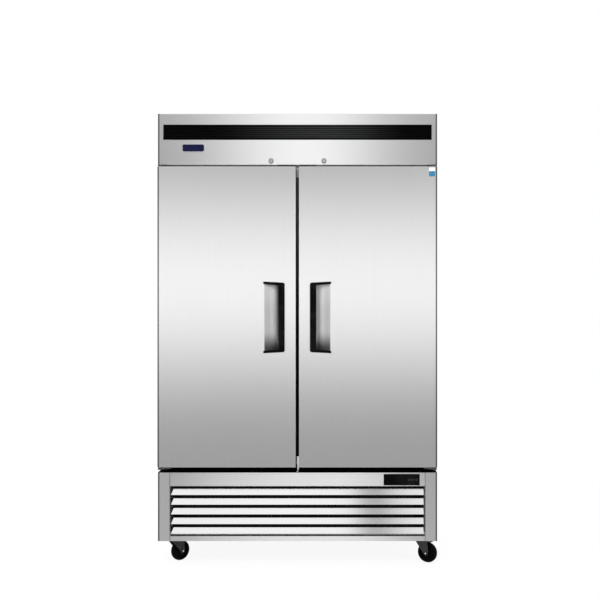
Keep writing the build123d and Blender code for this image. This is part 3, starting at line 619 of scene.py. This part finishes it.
def maker_plate():
    """Blank plate on the left of the header: a bright rounded rim around a dark field."""
    x0, x1, z0, z1, r = -0.5375, -0.4325, 1.931, 1.969, 0.010
    rim = 0.0028
    rim_y = panel_y - 0.0022
    field_y = panel_y - 0.0012
    outer = rounded_outline(x0, x1, z0, z1, r)
    inner = rounded_outline(x0 + rim, x1 - rim, z0 + rim, z1 - rim, r - rim)

    def field(bm):
        add_prism_y(bm, inner, field_y, panel_y)

    def frame_around(bm):
        section = ((outer, panel_y), (outer, rim_y), (inner, rim_y), (inner, panel_y))
        loops = [[bm.verts.new((x, y, z)) for x, z in outline] for outline, y in section]
        for k in range(4):
            here, there = loops[k - 1], loops[k]
            for i in range(len(outer)):
                bm.faces.new((here[i - 1], here[i], there[i], there[i - 1]))

    mesh_object("maker_plate_field", field, navy, "cabinet")
    bevelled(mesh_object("maker_plate_rim", frame_around, chrome, "cabinet"), 0.0006)


def door_label():
    """Blank two-colour sticker near the top right corner of the right door."""
    width, upper_height, lower_height, thick = 0.027, 0.0155, 0.0245, 0.0003
    x1 = skin_high.x - 0.0105
    x0 = x1 - width
    z1 = skin_high.z - 0.006
    middle = z1 - upper_height
    z0 = middle - lower_height
    y = skin_low.y

    def upper(bm):
        add_block(bm, (x0, y - thick, middle), (x1, y, z1))

    def lower(bm):
        add_block(bm, (x0, y - thick, z0), (x1, y, middle))

    mesh_object("label_upper", upper, white_print, "door_right")
    mesh_object("label_lower", lower, blue_print, "door_right")


def dark_strips():
    """Black strips of painted shade between the doors and along the sill, and where they meet a steel tab on
    a pale foot.
    """
    strip_x = gasket_low.x - 0.0005
    strip_low, strip_top = 0.505, 1.82
    sill_x = frame_high.x
    sill_top = 0.470
    bracket_in_x = 0.583
    under_bracket = bracket_low.z - 0.0007
    tab_x0, tab_x1, tab_top = -0.0038, 0.0047, 0.506
    tab_front_y = frame_y - 0.0035
    tab_back_y = frame_y - 0.0020
    foot_x0, foot_x1 = -0.0045, 0.0040
    foot_front_y = panel_y + 0.0008
    foot_top = ledge_z + 0.0005

    def mullion(bm):
        add_block(bm, (-strip_x, frame_y - 0.0015, strip_low), (strip_x, frame_y - 0.0002, strip_top))

    def sill(bm):
        add_block(bm, (-sill_x, panel_y + 0.0005, base_top), (sill_x, frame_y, ledge_z))
        add_block(bm, (-bracket_in_x, frame_y - 0.002, ledge_z), (bracket_in_x, frame_y - 0.0002, sill_top))
        for side in (-1, 1):
            x0, x1 = sorted((side * bracket_in_x, side * sill_x))
            add_block(bm, (x0, frame_y - 0.002, ledge_z), (x1, frame_y - 0.0002, under_bracket))

    def tab(bm):
        add_block(bm, (tab_x0, tab_front_y, foot_top + 0.0001), (tab_x1, tab_back_y, tab_top))

    def tab_foot(bm):
        add_block(bm, (foot_x0, foot_front_y, ledge_z), (foot_x1, tab_back_y, foot_top))

    # painted shade: near-black strips between the doors and along the sill
    mesh_object("mullion_strip", mullion, gap_painted_shade, "cabinet")
    mesh_object("sill_strip", sill, pit_black, "cabinet")
    bevelled(mesh_object("mullion_tab", tab, tab_steel, "cabinet"), 0.0004)
    mesh_object("mullion_tab_foot", tab_foot, pale_tab, "cabinet")


def air_filter():
    """Pleated filter mat behind the louvres, hung from a rail."""
    x0 = louvre_low.x + 0.001
    x1 = -x0
    y0 = panel_y + 0.0265
    y1 = panel_y + 0.033
    low_z = 0.148
    pleats = 98
    thick = 0.0012

    def pleated(bm):
        step = (x1 - x0) / (2 * pleats)
        path = [(x0 + step * i, y0 if i % 2 else y1 - thick) for i in range(2 * pleats + 1)]
        outline = path + [(x, y + thick) for x, y in path[::-1]]
        low = [bm.verts.new((x, y, low_z)) for x, y in outline]
        top = [bm.verts.new((x, y, louvre_top)) for x, y in outline]
        count = len(outline)
        for i in range(count):
            bm.faces.new((low[i - 1], low[i], top[i], top[i - 1]))
        for i in range(len(path) - 1):
            far = count - 1 - i
            bm.faces.new((low[i], low[i + 1], low[far - 1], low[far]))
            bm.faces.new((top[far], top[far - 1], top[i + 1], top[i]))

    def rail(bm):
        add_block(bm, (x0, panel_y + 0.0175, louvre_top - 0.0018), (x1, y0, louvre_top))

    mesh_object("air_filter", pleated, filter_mat, "cabinet")
    mesh_object("filter_rail", rail, filter_mat, "cabinet")


def wire_shelves():
    """Six shelves of welded round wire."""
    rod, wire, pitch = 0.003, 0.0018, 0.024
    low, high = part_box("wire_shelves")
    inner_x = 0.014
    spacing = 0.375
    end_gap = 0.015
    bar_steps = (0.190, 0.385)
    lip = 0.002
    y0, y1 = low.y, high.y
    lowest = low.z + rod

    def add_shelf(bm, x0, x1, z):
        border = [(x0 + rod, y0 + rod, z), (x1 - rod, y0 + rod, z),
                  (x1 - rod, y1 - rod, z), (x0 + rod, y1 - rod, z)]
        for i in range(4):
            add_wire(bm, (border[i - 1], border[i]), rod, (0, 0, 1))
        for step in bar_steps:
            add_wire(bm, ((x0 + rod, y0 + step, z), (x1 - rod, y0 + step, z)), rod, (0, 0, 1))
        count = int((x1 - x0 - 2 * end_gap) / pitch)
        start = (x0 + x1 - pitch * (count - 1)) / 2
        front = y0 - wire * 0.6
        top = z + rod + wire * 0.8
        for i in range(count):
            x = start + pitch * i
            path = [(x, front, z - lip), (x, front, z + lip), (x, y0 + 0.0015, top), (x, y1 - 0.001, top)]
            add_wire(bm, path, wire, (1, 0, 0), sides=8)

    def shelves(bm):
        for level in range(3):
            add_shelf(bm, low.x, -inner_x, lowest + spacing * level)
            add_shelf(bm, inner_x, high.x, lowest + spacing * level)

    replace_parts(mesh_object("round_wire_shelves", shelves, shelf_coat, "cabinet"), "wire_shelves")


def fan_guards():
    """Wire guards over the two fan openings in the cold compartment."""
    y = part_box("evaporator_housing")[0].y - 0.0012
    wire = 0.0011
    ring_radii = (0.018, 0.032, 0.046, 0.060, 0.077)
    spoke_end = 0.080
    spokes = 6
    steps = 48

    def guards(bm):
        for side in ("left", "right"):
            x, _, z = joints["evaporator_fan_" + side + "_spin"]["pos_m"]

            def at(r, angle):
                return (x + r * math.cos(angle), y, z + r * math.sin(angle))

            for r in ring_radii:
                ring = [at(r, math.tau * i / steps) for i in range(steps)]
                add_wire(bm, ring, wire, (0, 1, 0), closed=True, sides=6)
            for i in range(spokes):
                angle = math.tau * i / spokes
                add_wire(bm, (at(ring_radii[0], angle), at(spoke_end, angle)), wire, (0, 1, 0), sides=6)

    mesh_object("fan_guards", guards, chrome, "cabinet")


def axle_caps():
    """Domed nuts on both ends of every caster axle."""
    profile = [(0.0068, 0.0), (0.0068, 0.0026), (0.0058, 0.0030),
               (0.0046, 0.0044), (0.0026, 0.0054), (0, 0.0058)]
    fork_face = 0.0211
    for corner in ("front_left", "front_right", "rear_left", "rear_right"):
        roll = joints["wheel_" + corner + "_roll"]
        middle = Vector(roll["pos_m"])
        axle = Vector(roll["axis"]).normalized()

        def caps(bm, middle=middle, axle=axle):
            for side in (-1, 1):
                add_dome(bm, middle + axle * (side * fork_face), axle * side, profile)

        mesh_object("axle_caps_" + corner, caps, chrome, "caster_" + corner)


maker_plate()
door_label()
axle_caps()
dark_strips()
air_filter()
wire_shelves()
fan_guards()


# ---- camera ----

camera_x = 0.175
camera_gap = 4.0        # from the camera to the door faces
eye_z = 1.2426
view_width = 2.778      # what the picture spans at the door faces
view_middle_x = 0.0125  # and where its middle falls
sensor = 36.0

cam_data = bpy.data.cameras.new("camera")
cam_data.sensor_width = sensor
cam_data.lens = sensor * camera_gap / view_width
cam_data.shift_x = -(camera_x - view_middle_x) / view_width
cam_data.clip_end = 60.0
cam = bpy.data.objects.new("camera", cam_data)
cam.location = (camera_x, skin_low.y - camera_gap, eye_z)
cam.rotation_euler = (math.pi / 2, 0, 0)
scene.collection.objects.link(cam)
scene.camera = cam


# ---- studio ----

def lobe(centre, reach, floor, steps=12):
    """Ramp stops across a soft lamp: a raised cosine, with a reach and a floor on either side."""
    stops = []
    for i in range(steps + 1):
        across = 2 * i / steps - 1
        side = int(across > 0)
        height = 0.5 + 0.5 * math.cos(math.pi * across)
        stops.append((centre + reach[side] * across, floor[side] + (1 - floor[side]) * height))
    return stops


# what polished metal sees of the studio: its brightness by height of view, from straight down to straight up
eye_band = [(0.0, 0.43), (0.30, 0.43), *lobe(0.507, (0.085, 0.094), (0.305, 0.335)),
            (0.64, 0.41), (0.72, 0.66), (0.85, 0.78), (1.0, 0.78)]
# the same by compass angle, from behind by the left side, the front and the right side to behind
round_band = [(0.0, 0.58), (0.12, 0.75), (0.25, 0.28), (0.36, 0.93), (0.40, 0.66), (0.44, 0.31),
              *lobe(0.495, (0.028, 0.0253), (0.17, 0.20)), (0.535, 0.23), (0.56, 0.31), (0.60, 0.66),
              (0.64, 0.93), (0.75, 0.28), (0.88, 0.75), (1.0, 0.58)]
# and overhead, with a soft dark gap right of the middle
high_band = [(0.0, 0.58), (0.5042, 0.60), (0.5075, 0.30), (0.5092, 0.08), (0.5112, 0.18), (0.5150, 0.42),
             (0.52, 0.54), (0.53, 0.58), (1.0, 0.58)]
studio_level = 3.30
room_level = 0.8


def float_ramp(tree, factor, stops):
    """A grey ramp through (position, value) stops."""
    node = add(tree, "ShaderNodeValToRGB", {0: factor})
    ramp = node.color_ramp
    ramp.interpolation = "LINEAR"
    while len(ramp.elements) > 1:
        ramp.elements.remove(ramp.elements[-1])
    for i, (position, value) in enumerate(stops):
        element = ramp.elements[0] if i == 0 else ramp.elements.new(position)
        element.position = position
        element.color = (value, value, value, 1)
    return node.outputs[0]


def studio_world():
    """White backdrop and a pale room. Metal sees a grey studio, brightest straight in front at eye height."""
    world = bpy.data.worlds.new("studio")
    scene.world = world
    world.use_nodes = True
    tree = world.node_tree
    tree.nodes.clear()
    x, y, z = axes(tree, add(tree, "ShaderNodeTexCoord").outputs["Generated"])
    upward = float_ramp(tree, maths(tree, "MULTIPLY_ADD", z, 0.5, 0.5), eye_band)
    azimuth = maths(tree, "ARCTAN2", x, product(tree, y, -1.0))
    turn = maths(tree, "MULTIPLY_ADD", azimuth, 0.5 / math.pi, 0.5)
    overhead = remap(tree, z, 0.30, 0.55, 0, 1)
    sideways = add(tree, "ShaderNodeMix", {0: overhead, 2: float_ramp(tree, turn, round_band),
                                           3: float_ramp(tree, turn, high_band)}).outputs[0]
    seen = product(tree, product(tree, upward, sideways), studio_level)
    grey = add(tree, "ShaderNodeCombineColor", {0: seen, 1: seen, 2: seen}).outputs[0]
    studio = add(tree, "ShaderNodeBackground", {0: grey, 1: 1.0}).outputs[0]
    room = add(tree, "ShaderNodeBackground", {0: (1, 1, 1, 1), 1: room_level}).outputs[0]
    backdrop = add(tree, "ShaderNodeBackground", {0: (1, 1, 1, 1), 1: 1.0}).outputs[0]
    path = add(tree, "ShaderNodeLightPath").outputs
    lit = add(tree, "ShaderNodeMixShader", {0: path["Is Glossy Ray"], 1: room, 2: studio}).outputs[0]
    shown = add(tree, "ShaderNodeMixShader", {0: path["Is Camera Ray"], 1: lit, 2: backdrop}).outputs[0]
    out = add(tree, "ShaderNodeOutputWorld")
    tree.links.new(shown, out.inputs[0])


def pale_floor():
    """A plain pale floor that turns into the backdrop a few steps away from the object."""
    half = 14.0
    near, far = 0.6, 2.4
    mesh = bpy.data.meshes.new("floor")
    mesh.from_pydata([(-half, -half, 0), (half, -half, 0), (half, half, 0), (-half, half, 0)], [],
                     [(0, 1, 2, 3)])
    mat, tree, out = new_tree("floor_paint")
    coords = place_coords(tree)
    cloud = noise(tree, coords, scale=0.8, detail=2.0)
    paint = add(tree, "ShaderNodeBsdfDiffuse",
                {0: tint(tree, cloud, (0.90, 0.90, 0.90), (0.93, 0.93, 0.93))}).outputs[0]
    glow = add(tree, "ShaderNodeEmission", {0: (1, 1, 1, 1), 1: 1.0}).outputs[0]
    away = add(tree, "ShaderNodeVectorMath", {0: coords}, operation="LENGTH").outputs["Value"]
    blend = remap(tree, away, near, far, 0.90, 1.0)
    mixed = add(tree, "ShaderNodeMixShader", {0: blend, 1: paint, 2: glow}).outputs[0]
    path = add(tree, "ShaderNodeLightPath").outputs
    seen = add(tree, "ShaderNodeMixShader", {0: path["Is Camera Ray"], 1: paint, 2: mixed}).outputs[0]
    tree.links.new(seen, out.inputs["Surface"])
    mesh.materials.append(mat)
    floor = bpy.data.objects.new("floor", mesh)
    floor.visible_glossy = False
    scene.collection.objects.link(floor)


def area_light(name, place, target, size, power):
    """A soft rectangular lamp that polished metal doesn't show."""
    data = bpy.data.lights.new(name, "AREA")
    data.shape = "RECTANGLE"
    data.size, data.size_y = size
    data.energy = power
    lamp = bpy.data.objects.new(name, data)
    lamp.location = place
    lamp.rotation_euler = (Vector(target) - Vector(place)).to_track_quat("-Z", "Y").to_euler()
    lamp.visible_glossy = False
    scene.collection.objects.link(lamp)


studio_world()
pale_floor()
area_light("key", place=(-2.2, -3.4, 3.4), target=(0, 0, 0.9), size=(2.6, 2.0), power=130)
area_light("fill", place=(2.8, -3.0, 2.6), target=(0, 0, 0.9), size=(2.4, 2.0), power=80)
area_light("back", place=(0, 3.4, 3.2), target=(0, 0, 1.0), size=(3.0, 1.6), power=90)
scene.view_settings.view_transform = "Standard"
